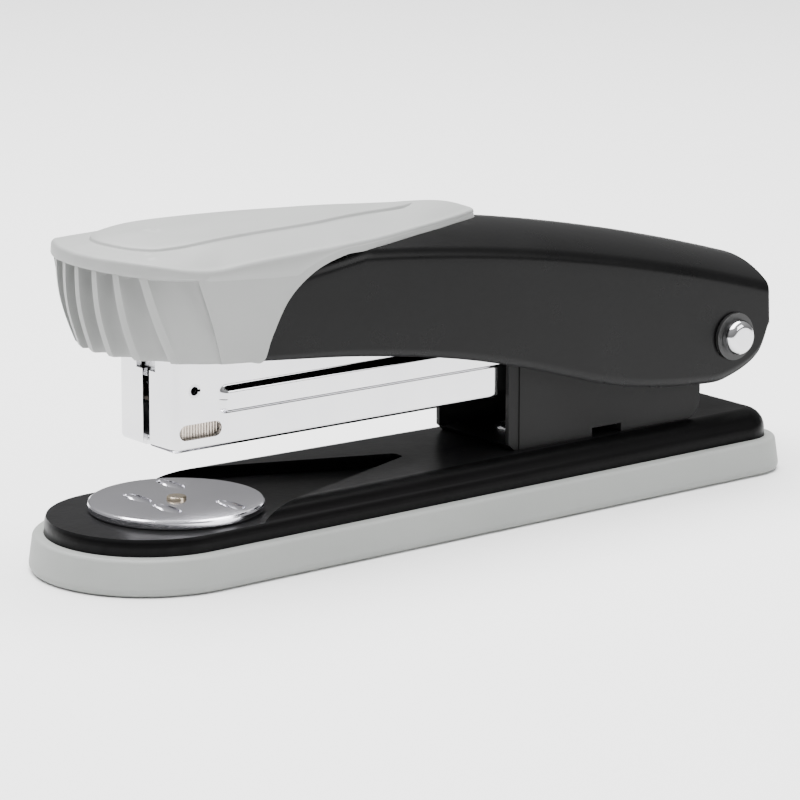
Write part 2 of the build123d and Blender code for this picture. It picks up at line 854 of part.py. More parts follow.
with BuildPart() as handle_space:
    slope_top = crest_z + handle_slope_rise
    space_slope = (slope_top - handle_front_top) / (handle_slope_x - handle_front_x)
    space_drop = cap_step_top + handle_sheet
    extrude(
        side_face(
            (-tall, 0),
            (tall, 0),
            (tall, rear_wall_low_z),
            (handle_rear_x - handle_sheet, rear_wall_low_z),
            (handle_rear_x - handle_sheet - handle_rear_lean, crest_z),
            (handle_slope_x, slope_top - space_drop),
            (-tall, handle_front_top - space_drop - (tall + handle_front_x) * space_slope),
        ),
        amount=wide,
        both=True,
    )
    add(crown(handle_sheet, handle_sheet), mode=Mode.INTERSECT)

with BuildPart() as handle_nose:
    add(handle_core.part)
    add(handle_space.part, mode=Mode.SUBTRACT)

with BuildPart() as handle_shell:
    add(handle_block(0, 0))
    add(under_cap.part, mode=Mode.SUBTRACT)
    add(handle_space.part, mode=Mode.SUBTRACT)
    add(handle_nose.part)
    extrude(
        cross_disc(pivot_x, pivot_z, pin_radius + running_gap), amount=wide, both=True, mode=Mode.SUBTRACT
    )


# ---------------------------------------------------------------- head cap
def cap_outline(inset, height, lip):
    """Plan of the cap: a half circle at its foot, a shallow bow with round corners at its lip."""
    half = cap_rear_half_width - inset
    if lip:
        bow_x = cap_front_x + inset
        side_x, side_y = cap_lip_side_x, cap_lip_half_width - inset
        turn_x, turn_y = cap_lip_turn
        corner_x, corner_y = cap_lip_corner
        shift_x, shift_y = cap_lip_corner_shift
        turn = (bow_x + turn_x, side_y - turn_y)
        corner = (bow_x + corner_x + shift_x * inset, side_y - corner_y - shift_y * inset)
    else:
        radius = cap_foot_radius - inset
        bow_x = cap_foot_x - radius
        side_x, side_y = cap_foot_x, radius
        turn = (cap_foot_x - radius * cos(radians(30)), radius * sin(radians(30)))
        corner = (cap_foot_x - radius * cos(radians(60)), radius * sin(radians(60)))
    with BuildSketch(Plane.XY.offset(height)) as plan:
        with BuildLine():
            Polyline((side_x, side_y), (cap_neck_x, half), (cap_tip_x, half))
            Line((cap_tip_x, half), (cap_tip_x, -half))
            Polyline((cap_tip_x, -half), (cap_neck_x, -half), (side_x, -side_y))
            ThreePointArc((side_x, -side_y), (corner[0], -corner[1]), (turn[0], -turn[1]))
            ThreePointArc((turn[0], -turn[1]), (bow_x, 0), turn)
            ThreePointArc(turn, corner, (side_x, side_y))
        make_face()
    return plan.sketch


def cap_body(inset, top):
    """Cap below the lip, from its foot to top, drawn inward by inset."""
    with BuildPart() as body:
        loft([cap_outline(inset, cap_foot_z, False), cap_outline(inset, cap_lip_z, True)], ruled=True)
        extrude(side_box(-tall, tall, top, tall), amount=wide, both=True, mode=Mode.SUBTRACT)
    return body.part


def roof_section(x, side_z, shoulder, top_z):
    """Cross-section of the cap's roof: sloped facets from the sides up to a flat top."""
    with BuildSketch(Plane.YZ.offset(x)) as section:
        with BuildLine():
            Polyline(
                (-cap_lip_half_width, 0),
                (-cap_lip_half_width, side_z),
                (-shoulder, top_z),
                (shoulder, top_z),
                (cap_lip_half_width, side_z),
                (cap_lip_half_width, 0),
                close=True,
            )
        make_face()
    return section.sketch


with BuildPart() as cap_roof:
    loft([roof_section(*station) for station in (roof_nose, roof_neck, roof_tip)], ruled=True)

with BuildPart() as cap_tongue:
    with BuildSketch(Plane.XY.offset(cap_foot_z)) as tongue:
        with BuildLine():
            Polyline(
                (cap_neck_x - 2 * cap_tongue_margin, cap_rear_half_width + cap_tongue_margin),
                (cap_tip_x, cap_tip_half_width),
                (cap_tip_x, -cap_tip_half_width),
                (cap_neck_x - 2 * cap_tongue_margin, -cap_rear_half_width - cap_tongue_margin),
                close=True,
            )
        make_face()
        fillet(tongue.vertices().group_by(Axis.X)[-1], cap_tip_half_width * 0.8)
    extrude(amount=tall)
    extrude(side_box(-tall, tall, 0, seam_top_z), amount=wide, both=True, mode=Mode.SUBTRACT)

with BuildPart() as cap_side:
    add(under_cap.part)
    add(cap_tongue.part)

with BuildPart() as cap_grooves:
    for index in range(groove_count):
        groove_y = (index - (groove_count - 1) / 2) * groove_pitch
        with BuildSketch(Plane.XY):
            with Locations((cap_front_x, groove_y)):
                Rectangle(2 * (cap_foot_x - cap_front_x), groove_width)
        extrude(amount=cap_lip_low_z)
    add(cap_body(groove_depth, cap_lip_low_z), mode=Mode.SUBTRACT)

with BuildPart() as head_cap:
    add(cap_body(0, cap_lip_z))
    extrude(cap_outline(0, cap_lip_z, True), amount=tall)
    add(cap_roof.part, mode=Mode.INTERSECT)
    add(cap_grooves.part, mode=Mode.SUBTRACT)
    add(cap_body(cap_wall, cap_lip_low_z), mode=Mode.SUBTRACT)
    add(cap_side.part, mode=Mode.INTERSECT)
    add(handle_form.part, mode=Mode.SUBTRACT)

# ---------------------------------------------------------------- driver and handle springs
driver_front_x = nose_inside_x + driver_gap
driver_rear_x = driver_front_x + driver_thickness
with BuildPart() as driver_blade:
    extrude(
        side_box(driver_front_x, driver_rear_x, driver_tip_z, driver_tab_z),
        amount=driver_half_width,
        both=True,
    )
    extrude(
        side_box(
            driver_front_x, driver_front_x + driver_tab_length, driver_tab_z - driver_thickness, driver_tab_z
        ),
        amount=leaf_half_width,
        both=True,
    )
    for rivet_x in driver_rivet_xs:
        extrude(disc(rivet_x, 0, small_shank, 0), amount=tall, mode=Mode.SUBTRACT)

with BuildPart() as driver_leaf:
    leaf_front_x = driver_rear_x + leaf_end_gap
    leaf_bend_x = driver_front_x + driver_tab_length
    extrude(
        side_face(
            (leaf_front_x, driver_tab_z),
            (leaf_bend_x, driver_tab_z),
            (leaf_seat_front_x, leaf_seat_z - leaf_sheet),
            (leaf_seat_rear_x, leaf_seat_z - leaf_sheet),
            (leaf_seat_rear_x, leaf_seat_z),
            (leaf_seat_front_x, leaf_seat_z),
            (leaf_bend_x, driver_tab_z + leaf_sheet),
            (leaf_front_x, driver_tab_z + leaf_sheet),
        ),
        amount=leaf_half_width,
        both=True,
    )
    for rivet_x in driver_rivet_xs + leaf_stud_xs:
        extrude(disc(rivet_x, 0, small_shank, 0), amount=tall, mode=Mode.SUBTRACT)

with BuildPart() as driver_rivets:
    for rivet_x in driver_rivet_xs:
        add(
            rivet(
                rivet_x,
                0,
                small_shank,
                small_head,
                small_head_height,
                driver_tab_z - driver_thickness,
                driver_tab_z + leaf_sheet,
            )
        )

with BuildPart() as leaf_studs:
    for stud_x in leaf_stud_xs + (spring_stud_x,):
        stud_top = crest_at(stud_x) - handle_sheet - side_gap
        stud_low = leaf_seat_z - leaf_sheet
        extrude(disc(stud_x, 0, small_shank, stud_low), amount=stud_top - stud_low)
        extrude(disc(stud_x, 0, small_head, leaf_seat_z), amount=stud_top - leaf_seat_z)
        extrude(disc(stud_x, 0, small_head, stud_low), amount=-small_head_height)

with BuildPart() as return_spring:
    root_front_x = leaf_seat_rear_x + side_gap
    root_rear_x = root_front_x + return_spring_root
    tip_x, tip_z = return_spring_tip
    with BuildSketch(Plane.XZ):
        with BuildLine():
            Line((root_front_x, leaf_seat_z), (root_rear_x, leaf_seat_z))
            Spline((root_rear_x, leaf_seat_z), (tip_x, tip_z + leaf_sheet), tangents=((1, 0), (1, -0.2)))
            Line((tip_x, tip_z + leaf_sheet), (tip_x, tip_z))
            Spline((tip_x, tip_z), (root_rear_x, leaf_seat_z - leaf_sheet), tangents=((-1, 0.2), (-1, 0)))
            Line((root_rear_x, leaf_seat_z - leaf_sheet), (root_front_x, leaf_seat_z - leaf_sheet))
            Line((root_front_x, leaf_seat_z - leaf_sheet), (root_front_x, leaf_seat_z))
        make_face()
    extrude(amount=return_spring_half_width, both=True)
    extrude(disc(spring_stud_x, 0, small_shank, 0), amount=tall, mode=Mode.SUBTRACT)

# ================================================================ finished pieces
handle_pieces = {
    "handle_shell": handle_shell,
    "head_cap": head_cap,
    "driver_blade": driver_blade,
    "driver_leaf": driver_leaf,
    "driver_rivets": driver_rivets,
    "leaf_studs": leaf_studs,
    "return_spring": return_spring,
}
level_pieces = {
    "base_boot": base_boot,
    "base_plate": base_plate,
    "anvil_disc": anvil_disc,
    "anvil_spindle": anvil_spindle,
    "anvil_button": anvil_button,
    "anvil_spring": anvil_spring,
    "pivot_bracket": pivot_bracket,
    "bracket_rivets": bracket_rivets,
    "lift_spring": lift_spring,
    "pivot_pin": pivot_pin,
    "pivot_washers": pivot_washers,
    "pivot_spacers": pivot_spacers,
    "pivot_sleeve": pivot_sleeve,
    "magazine_channel": magazine_channel,
    "magazine_carrier": magazine_carrier,
    "carrier_rivets": carrier_rivets,
    "front_roll_pin": front_roll_pin,
    "staple_rail": staple_rail,
    "staple_strip": staple_strip,
    "guide_rod": guide_rod,
    "pusher": pusher,
    "pusher_spring": pusher_spring,
}
for piece in handle_pieces.values():
    piece.part = piece.part.rotate(pivot_axis, handle_tilt)

os.makedirs("parts", exist_ok=True)
for label, piece in {**level_pieces, **handle_pieces}.items():
    piece.part.label = label
    export_step(piece.part, f"parts/{label}.step")
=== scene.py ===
import json
from math import atan2, cos, hypot, pi, radians, sin, sqrt

import bpy
from mathutils import Matrix, Vector


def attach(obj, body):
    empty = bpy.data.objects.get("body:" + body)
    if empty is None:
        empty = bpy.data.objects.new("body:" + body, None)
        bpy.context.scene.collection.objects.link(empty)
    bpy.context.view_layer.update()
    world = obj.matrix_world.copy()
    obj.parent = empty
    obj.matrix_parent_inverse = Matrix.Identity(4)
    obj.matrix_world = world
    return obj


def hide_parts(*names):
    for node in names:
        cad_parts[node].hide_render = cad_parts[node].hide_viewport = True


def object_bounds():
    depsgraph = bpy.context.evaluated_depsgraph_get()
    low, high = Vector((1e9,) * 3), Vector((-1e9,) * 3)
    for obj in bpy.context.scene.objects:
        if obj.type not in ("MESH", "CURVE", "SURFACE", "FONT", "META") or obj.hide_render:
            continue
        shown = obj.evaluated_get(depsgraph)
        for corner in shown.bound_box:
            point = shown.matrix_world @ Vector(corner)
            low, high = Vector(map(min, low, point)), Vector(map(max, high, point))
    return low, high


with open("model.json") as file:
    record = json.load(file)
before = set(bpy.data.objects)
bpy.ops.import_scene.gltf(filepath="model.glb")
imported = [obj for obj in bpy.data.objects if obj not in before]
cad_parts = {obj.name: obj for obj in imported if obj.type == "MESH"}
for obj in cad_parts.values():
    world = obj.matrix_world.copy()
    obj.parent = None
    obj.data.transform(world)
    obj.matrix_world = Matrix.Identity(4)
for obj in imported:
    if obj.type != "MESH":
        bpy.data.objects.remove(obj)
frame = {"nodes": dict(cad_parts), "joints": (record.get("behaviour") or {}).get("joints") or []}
cad_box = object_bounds()
nodes = frame["nodes"]
MM = 0.001

# ------------------------------------------------------------------ the handle's own frame
# The handle and its cap are drawn level and then raised about the hinge, as in the CAD model.
hinge = Vector(next(j for j in frame["joints"] if j["name"] == "handle_swing")["pos_m"])
HANDLE_TILT = radians(5.5)
raise_handle = (
    Matrix.Translation(hinge)
    @ Matrix.Rotation(HANDLE_TILT, 4, Vector((0, 1, 0)))
    @ Matrix.Translation(-hinge)
)


# ------------------------------------------------------------------ materials
WORN_FROM, WORN_FULL = 0.53, 0.6  # pointiness where an edge starts to look rubbed and where it is bare
WIRE_PITCH = 0.52 * MM
WAVE_RADIANS = 20  # a wave texture of scale 1 turns through this angle in each metre


def start_material(name):
    """An empty node material with its shader, and a short way to add a node."""
    mat = bpy.data.materials.new(name)
    mat.use_nodes = True
    tree = mat.node_tree
    shader = tree.nodes["Principled BSDF"]

    def add(kind, **values):
        node = tree.nodes.new(kind)
        for key, value in values.items():
            if hasattr(node, key):
                setattr(node, key, value)
            else:
                node.inputs[key.replace("_", " ")].default_value = value
        return node

    return mat, tree, shader, add


def place(tree, add, stretch=(1, 1, 1)):
    """Object coordinates, stretched along the axes."""
    coords = add("ShaderNodeTexCoord")
    mapping = add("ShaderNodeMapping")
    mapping.inputs["Scale"].default_value = stretch
    tree.links.new(coords.outputs["Object"], mapping.inputs["Vector"])
    return mapping.outputs["Vector"]


def noise(tree, add, vector, scale, detail=4.0):
    """Noise between 0 and 1; a larger scale is finer."""
    node = add("ShaderNodeTexNoise", Scale=scale, Detail=detail)
    tree.links.new(vector, node.inputs["Vector"])
    return node.outputs["Fac"]


def ramp(tree, add, source, low, high, first, last):
    """Colour that runs from first, where source is low, to last, where it is high."""
    node = add("ShaderNodeValToRGB")
    node.color_ramp.elements[0].position = low
    node.color_ramp.elements[1].position = high
    node.color_ramp.elements[0].color = (*first, 1)
    node.color_ramp.elements[1].color = (*last, 1)
    tree.links.new(source, node.inputs["Fac"])
    return node.outputs["Color"]


def level(tree, add, source, low, high):
    """Maps 0..1 to low..high."""
    node = add("ShaderNodeMapRange", To_Min=low, To_Max=high)
    tree.links.new(source, node.inputs["Value"])
    return node.outputs["Result"]


def bump(tree, add, shader, source, distance):
    """Fine relief in the surface, distance high."""
    node = add("ShaderNodeBump", Strength=1.0, Distance=distance)
    tree.links.new(source, node.inputs["Height"])
    tree.links.new(node.outputs["Normal"], shader.inputs["Normal"])


def edge_mix(tree, add, base, worn):
    """Blends towards a worn colour on convex edges."""
    geometry = add("ShaderNodeNewGeometry")
    pointiness = geometry.outputs["Pointiness"]
    mask = ramp(tree, add, pointiness, WORN_FROM, WORN_FULL, (0, 0, 0), (1, 1, 1))
    mix = add("ShaderNodeMix", data_type="RGBA")
    tree.links.new(mask, mix.inputs["Factor"])
    tree.links.new(base, mix.inputs["A"])
    mix.inputs["B"].default_value = (*worn, 1)
    return mix.outputs["Result"]


def paint_material(name, colour, worn, roughness, grain, gloss):
    """Baked black enamel on steel: slight orange peel, cloudy gloss, lighter rubbed edges."""
    mat, tree, shader, add = start_material(name)
    where = place(tree, add)
    cloud = noise(tree, add, where, 60)
    tone = ramp(tree, add, cloud, 0.35, 0.7, [c * 0.85 for c in colour], [c * 1.15 for c in colour])
    tree.links.new(edge_mix(tree, add, tone, worn), shader.inputs["Base Color"])
    smudge = noise(tree, add, where, 140, 6)
    dullness = level(tree, add, smudge, roughness - 0.05, roughness + 0.09)
    tree.links.new(dullness, shader.inputs["Roughness"])
    shader.inputs["Specular IOR Level"].default_value = gloss
    peel = noise(tree, add, where, 900, 3)
    bump(tree, add, shader, peel, grain)
    return mat


def plastic_material(name, colour, shade, roughness, grain):
    """Moulded plastic: fine spark texture, faint flow marks, patches of duller surface."""
    mat, tree, shader, add = start_material(name)
    where = place(tree, add)
    flow = noise(tree, add, place(tree, add, (1, 2.5, 2.5)), 45)
    tone = ramp(tree, add, flow, 0.3, 0.75, colour, shade)
    rubbed = [min(1, c * 1.12) for c in colour]
    tree.links.new(edge_mix(tree, add, tone, rubbed), shader.inputs["Base Color"])
    patch = noise(tree, add, where, 220, 5)
    dullness = level(tree, add, patch, roughness - 0.06, roughness + 0.08)
    tree.links.new(dullness, shader.inputs["Roughness"])
    shader.inputs["Specular IOR Level"].default_value = 0.4
    bump(tree, add, shader, noise(tree, add, where, 2600, 2), grain)
    return mat


def metal_material(name, colour, shade, roughness, spread, stretch, grain):
    """Bare or plated metal with drawn or polished marks along one direction."""
    mat, tree, shader, add = start_material(name)
    where = place(tree, add, stretch)
    marks = noise(tree, add, where, 900, 5)
    cloud = noise(tree, add, place(tree, add), 70)
    tone = ramp(tree, add, cloud, 0.35, 0.7, colour, shade)
    tree.links.new(tone, shader.inputs["Base Color"])
    shader.inputs["Metallic"].default_value = 1.0
    dullness = level(tree, add, marks, roughness - spread / 2, roughness + spread)
    tree.links.new(dullness, shader.inputs["Roughness"])
    bump(tree, add, shader, marks, grain)
    return mat


def staple_material():
    """Glued steel wires side by side: a fine ridge for each wire, with glue sheen, and colour bands that are
    painted shade between the wires and painted highlight on their crests.
    """
    mat, tree, shader, add = start_material("staple_wires")
    where = place(tree, add)
    scale = 2 * pi / WAVE_RADIANS / WIRE_PITCH
    wires = add("ShaderNodeTexWave", wave_type="BANDS", bands_direction="X", Scale=scale)
    tree.links.new(where, wires.inputs["Vector"])
    # Painted shade and highlight: darker bands where the wires meet, lighter bands along their crests.
    tone = ramp(tree, add, wires.outputs["Fac"], 0.05, 0.5, (0.42, 0.36, 0.30), (0.70, 0.62, 0.54))
    tree.links.new(tone, shader.inputs["Base Color"])
    shader.inputs["Metallic"].default_value = 0.85
    grime = noise(tree, add, where, 600, 4)
    tree.links.new(level(tree, add, grime, 0.25, 0.45), shader.inputs["Roughness"])
    bump(tree, add, shader, wires.outputs["Fac"], 0.12 * MM)
    return mat


BLACK, RUBBED_BLACK = (0.0018, 0.0018, 0.0019), (0.012, 0.012, 0.0125)
GREY, GREY_SHADE = (0.27, 0.275, 0.27), (0.245, 0.25, 0.245)

paint = paint_material("black_enamel", BLACK, RUBBED_BLACK, 0.27, 0.008 * MM, 0.13)
base_paint = paint_material("black_enamel_base", BLACK, RUBBED_BLACK, 0.3, 0.02 * MM, 0.05)
satin_paint = paint_material("black_satin_steel", BLACK, (0.012, 0.012, 0.012), 0.36, 0.02 * MM, 0.08)
grey = plastic_material("grey_soft_plastic", GREY, GREY_SHADE, 0.5, 0.006 * MM)
boot_grey = plastic_material(
    "grey_rubbery_plastic", (0.27, 0.28, 0.27), (0.245, 0.255, 0.245), 0.55, 0.01 * MM
)
black_plastic = plastic_material(
    "black_moulding", (0.012, 0.012, 0.012), (0.02, 0.02, 0.02), 0.4, 0.01 * MM
)
chrome = metal_material(
    "chrome_plate", (0.66, 0.66, 0.67), (0.6, 0.6, 0.62), 0.07, 0.06, (1, 1, 6), 0.0006 * MM
)
anvil_chrome = metal_material(
    "anvil_plate", (0.86, 0.85, 0.9), (0.8, 0.79, 0.85), 0.14, 0.1, (6, 1, 1), 0.0012 * MM
)
brass = metal_material(
    "brass_rivet", (0.72, 0.62, 0.47), (0.6, 0.5, 0.36), 0.25, 0.05, (1, 1, 1), 0.004 * MM
)
steel = metal_material(
    "bright_steel", (0.6, 0.6, 0.61), (0.5, 0.5, 0.52), 0.26, 0.05, (1, 8, 1), 0.002 * MM
)
wires = staple_material()

looks = {
    paint: ["handle_shell"],
    base_paint: ["base_plate"],
    satin_paint: ["pivot_bracket", "magazine_carrier", "staple_rail"],
    grey: ["head_cap"],
    boot_grey: ["base_boot"],
    black_plastic: ["pivot_washers", "pivot_spacers", "pusher", "anvil_button"],
    chrome: ["magazine_channel", "pivot_pin"],
    anvil_chrome: ["anvil_disc"],
    brass: ["anvil_spindle"],
    wires: ["staple_strip"],
}
finish_of = {node: mat for mat, members in looks.items() for node in members}


SOFT_EDGES = {"magazine_carrier": 0.25, "pivot_bracket": 0.2, "anvil_spindle": 0.15}  # bevels, mm
SOFT_FROM = radians(30)


def soften(obj, width):
    """Small rounded edges that catch the light, with flat faces kept flat."""
    bevel = obj.modifiers.new("edges", "BEVEL")
    bevel.width = width
    bevel.segments = 3
    bevel.limit_method = "ANGLE"
    bevel.angle_limit = SOFT_FROM
    bevel.harden_normals = True
    bevel.use_clamp_overlap = True


for name, node in nodes.items():
    for slot in node.material_slots:
        slot.material = finish_of.get(name, steel)

for name, width in SOFT_EDGES.items():
    soften(nodes[name], width * MM)


# ------------------------------------------------------------------ mesh helpers
def new_piece(name, body, mat, verts, faces):
    """A smooth-shaded visual piece that rides on a body of the frame."""
    mesh = bpy.data.meshes.new(name)
    mesh.from_pydata([tuple(v) for v in verts], [], faces)
    mesh.validate()
    mesh.materials.append(mat)
    obj = bpy.data.objects.new(name, mesh)
    bpy.context.scene.collection.objects.link(obj)
    for polygon in mesh.polygons:
        polygon.use_smooth = True
    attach(obj, body)
    return obj


def mirrored(point):
    """The same place on the far side."""
    return Vector((point.x, -point.y, point.z))


def grid_faces(rows, columns, first=0, closed=False):
    """Quads between equal rows of points."""
    faces = []
    for row in range(rows - 1):
        for column in range(columns if closed else columns - 1):
            a = first + row * columns + column
            b = first + row * columns + (column + 1) % columns
            faces.append((a, b, b + columns, a + columns))
    return faces


def lerp(a, b, t):
    """The value a share t of the way from a to b."""
    return a + (b - a) * t


def smooth_step(t):
    """0 to 1 with level ends."""
    t = min(1.0, max(0.0, t))
    return t * t * (3 - 2 * t)


def through(knots, count):
    """Catmull-Rom curve through the knots, with count points on each span."""
    points = [Vector(knot) for knot in knots]
    points = [2 * points[0] - points[1]] + points + [2 * points[-1] - points[-2]]
    curve = []
    for i in range(1, len(points) - 2):
        p0, p1, p2, p3 = points[i - 1 : i + 3]
        for step in range(count):
            t = step / count
            curve.append(
                0.5
                * (
                    2 * p1
                    + (p2 - p0) * t
                    + (2 * p0 - 5 * p1 + 4 * p2 - p3) * t * t
                    + (3 * p1 - p0 - 3 * p2 + p3) * t * t * t
                )
            )
    curve.append(points[-2])
    return curve


def facing_out(verts, faces):
    """The faces of a closed form, turned so that they look outward."""
    volume = 0.0
    for face in faces:
        for n in range(1, len(face) - 1):
            volume += verts[face[0]].dot(verts[face[n]].cross(verts[face[n + 1]]))
    return faces if volume > 0 else [tuple(reversed(face)) for face in faces]


def plain_object(name, verts, faces):
    """A helper object that carving takes away again."""
    mesh = bpy.data.meshes.new(name)
    mesh.from_pydata([tuple(v) for v in verts], [], faces)
    obj = bpy.data.objects.new(name, mesh)
    bpy.context.scene.collection.objects.link(obj)
    return obj


def carve(blank, cutters):
    """Mesh data left when the cutters are taken from the blank; the helpers are removed."""
    for cutter in cutters:
        cut = blank.modifiers.new("cut", "BOOLEAN")
        cut.operation = "DIFFERENCE"
        cut.solver = "EXACT"
        cut.object = cutter
    mesh = bpy.data.meshes.new_from_object(blank.evaluated_get(bpy.context.evaluated_depsgraph_get()))
    verts = [v.co.copy() for v in mesh.vertices]
    faces = [tuple(p.vertices) for p in mesh.polygons]
    for helper in [blank, *cutters]:
        bpy.data.objects.remove(helper)
    return verts, faces


def box_at(x0, x1, y0, y1, z0, z1):
    """Closed box between the given places, in millimetres."""
    corners = [Vector((x, y, z)) * MM for x in (x0, x1) for y in (y0, y1) for z in (z0, z1)]
    faces = [(0, 1, 3, 2), (4, 6, 7, 5), (0, 4, 5, 1), (2, 3, 7, 6), (0, 2, 6, 4), (1, 5, 7, 3)]
    return corners, facing_out(corners, faces)


def prism_across(outline, half):
    """Closed prism along Y from an outline of (x, z)."""
    count = len(outline)
    verts = [Vector((x, side * half, z)) * MM for side in (-1, 1) for x, z in outline]
    faces = [(n, (n + 1) % count, count + (n + 1) % count, count + n) for n in range(count)]
    faces += [tuple(reversed(range(count))), tuple(range(count, 2 * count))]
    return verts, facing_out(verts, faces)


# ------------------------------------------------------------------ head cap
# Every knot row is one place round the cap, from the middle of the nose to the tip of the tongue,
# on the near side: its lip or top edge, its foot, and the edge of the raised panel, in
# millimetres in the level handle frame.
CAP_KNOTS = [
    ((-66.0, 0.0, 38.75), (-61.7, 0.0, 23.5), (-61.5, 0.0, 40.2)),
    ((-65.7, -3.0, 38.8), (-61.37, -3.0, 23.5), (-61.2, -2.2, 40.2)),
    ((-65.1, -6.0, 38.85), (-60.35, -6.0, 23.5), (-60.3, -4.6, 40.15)),
    ((-64.0, -9.0, 38.95), (-58.42, -9.0, 23.5), (-58.9, -6.8, 40.2)),
    ((-62.6, -11.5, 38.95), (-55.7, -11.5, 23.5), (-57.3, -8.4, 40.35)),
    ((-60.8, -13.6, 38.85), (-52.9, -13.0, 23.5), (-55.4, -9.2, 40.65)),
    ((-58.5, -15.0, 38.6), (-50.5, -13.72, 23.5), (-53.2, -9.75, 41.0)),
    ((-56.0, -15.7, 38.35), (-48.7, -13.95, 23.5), (-50.8, -9.95, 41.4)),
    ((-53.0, -15.85, 38.2), (-46.8, -13.9, 23.5), (-48.0, -9.8, 41.8)),
    ((-49.7, -15.6, 38.35), (-44.8, -13.75, 23.5), (-45.0, -9.45, 42.15)),
    ((-44.7, -15.05, 39.05), (-42.0, -13.45, 23.5), (-40.5, -8.95, 42.6)),
    ((-40.0, -14.45, 39.55), (-39.3, -13.2, 23.5), (-36.5, -8.5, 42.95)),
    ((-37.5, -14.15, 39.8), (-38.1, -13.15, 27.0), (-34.0, -8.2, 43.15)),
    ((-34.2, -13.8, 40.15), (-35.3, -13.0, 32.8), (-31.0, -7.75, 43.4)),
    ((-29.6, -13.2, 40.62), (-30.6, -12.8, 37.0), (-27.0, -7.0, 43.7)),
    ((-25.3, -12.65, 41.05), (-25.0, -12.6, 39.3), (-23.0, -6.0, 44.05)),
    ((-20.8, -11.75, 41.45), (-20.7, -11.85, 39.75), (-19.5, -5.2, 44.35)),
    ((-15.1, -10.6, 42.1), (-15.2, -10.75, 40.55), (-15.0, -4.1, 44.65)),
    ((-9.5, -9.1, 42.78), (-9.6, -9.3, 41.3), (-11.0, -3.2, 44.85)),
    ((-2.6, -7.0, 43.5), (-2.6, -7.2, 42.1), (-7.5, -2.4, 45.05)),
    ((3.0, -4.7, 44.0), (3.0, -4.9, 42.6), (-4.9, -1.5, 45.2)),
    ((6.3, -3.0, 44.25), (6.5, -3.2, 42.8), (-3.6, -0.8, 45.28)),
    ((8.6, -1.5, 44.35), (8.8, -1.6, 42.85), (-3.0, -0.3, 45.3)),
    ((9.3, 0.0, 44.4), (9.5, 0.0, 42.85), (-2.9, 0.0, 45.3)),
]
SPAN_STEPS = 16
# Grooves between the lands of the nose, three on each side and one that rounds the corner.
LAND_PITCH, LAND_HALF = 4.05, 0.5
FRONT_GROOVES, FRONT_GROOVE, CORNER_GROOVE = 3, 2.6, 1.9
CORNER_GROOVE_END_X = -54.4
CORNER_FOOT, CORNER_FULL = 0.35, 0.7  # the corner groove's share of depth at its foot; where it is full
GROOVE_TOP, GROOVE_RUN_OUT = 0.992, 0.024
GROOVE_SQUARENESS = 4
GROOVE_STATIONS = (0.0, 0.015, 0.05, 0.12, 0.22, 0.35, 0.5, 0.65, 0.78, 0.88, 0.95, 0.985, 1.0)
TAIL_STATIONS = 96
WALL_ROWS = [0.0, 0.03] + [0.08 * n for n in range(1, 12)] + [0.93, 0.965, 0.975, 0.99, 1.0]
# The front stretch of the wall bulges and its lip stands out; both fade behind FRONT_X.
FRONT_X, FRONT_FADE = -52.5, 3.5
LIP_LOW_Z, LIP_OVERHANG, LIP_SHARE, BULGE = 36.7, 0.45, 0.45, 0.85
ROUND_OVER, ROUND_STEPS = 0.7, 6
FOOT_THIN, FOOT_EXTRA, FOOT_EXTRA_X, FOOT_EXTRA_FADE = 0.6, 2.8, -39.0, 6.0
FOOT_RISE, FOOT_CHAMFER = 3.0, 0.25
SHORT_SHARE = 0.3  # largest share of a low wall, or of a narrow panel, that one feature takes
NECK_X = -25.5
# The top runs out from the rim to the panel's edge, steps up and follows the spine.
PANEL_STEP, PANEL_FULL_X, PANEL_FULL_HALF = 0.5, -30, 2.0
PANEL_EDGE = ((0.15, 0.25), (0.5, 0.5), (0.85, 0.78), (1.0, 1.1))  # (share of the rise, share of the way in)
PANEL_STEP_IN = 0.3
FLAT_ROWS, PANEL_ROWS = 10, 8
SWELL, SWELL_TONGUE, SWELL_X, SWELL_FADE = 0.12, 0.55, -12.0, 14.0
SPINE = [
    (-52.0, 41.75), (-45.5, 42.5), (-38.0, 43.3), (-30.5, 43.95),
    (-23.0, 44.5), (-14.8, 45.0), (-5.8, 45.35),
]
SPINE_FRONT, SPINE_REAR, SPINE_NOSE_SLOPE = -52.0, -6.0, 0.12

edge_curve, foot_curve, panel_curve = (
    through([knots[which] for knots in CAP_KNOTS], SPAN_STEPS) for which in range(3)
)


def sample(curve, u):
    """Point of a dense curve at a fractional index."""
    low = min(int(u), len(curve) - 2)
    return curve[low].lerp(curve[low + 1], u - low)


def find(test):
    """Fractional index of the first place where test turns positive along the edge curve."""
    for low in range(len(edge_curve) - 1):
        a, b = test(edge_curve[low]), test(edge_curve[low + 1])
        if a <= 0 < b:
            return low + a / (a - b)
    return float(len(edge_curve) - 1)


def spine_height(x):
    """Height of the panel along its middle."""
    if x <= SPINE[0][0]:
        return SPINE[0][1] + (x - SPINE[0][0]) * SPINE_NOSE_SLOPE
    for (x0, z0), (x1, z1) in zip(SPINE, SPINE[1:]):
        if x <= x1:
            return lerp(z0, z1, (x - x0) / (x1 - x0))
    return SPINE[-1][1]


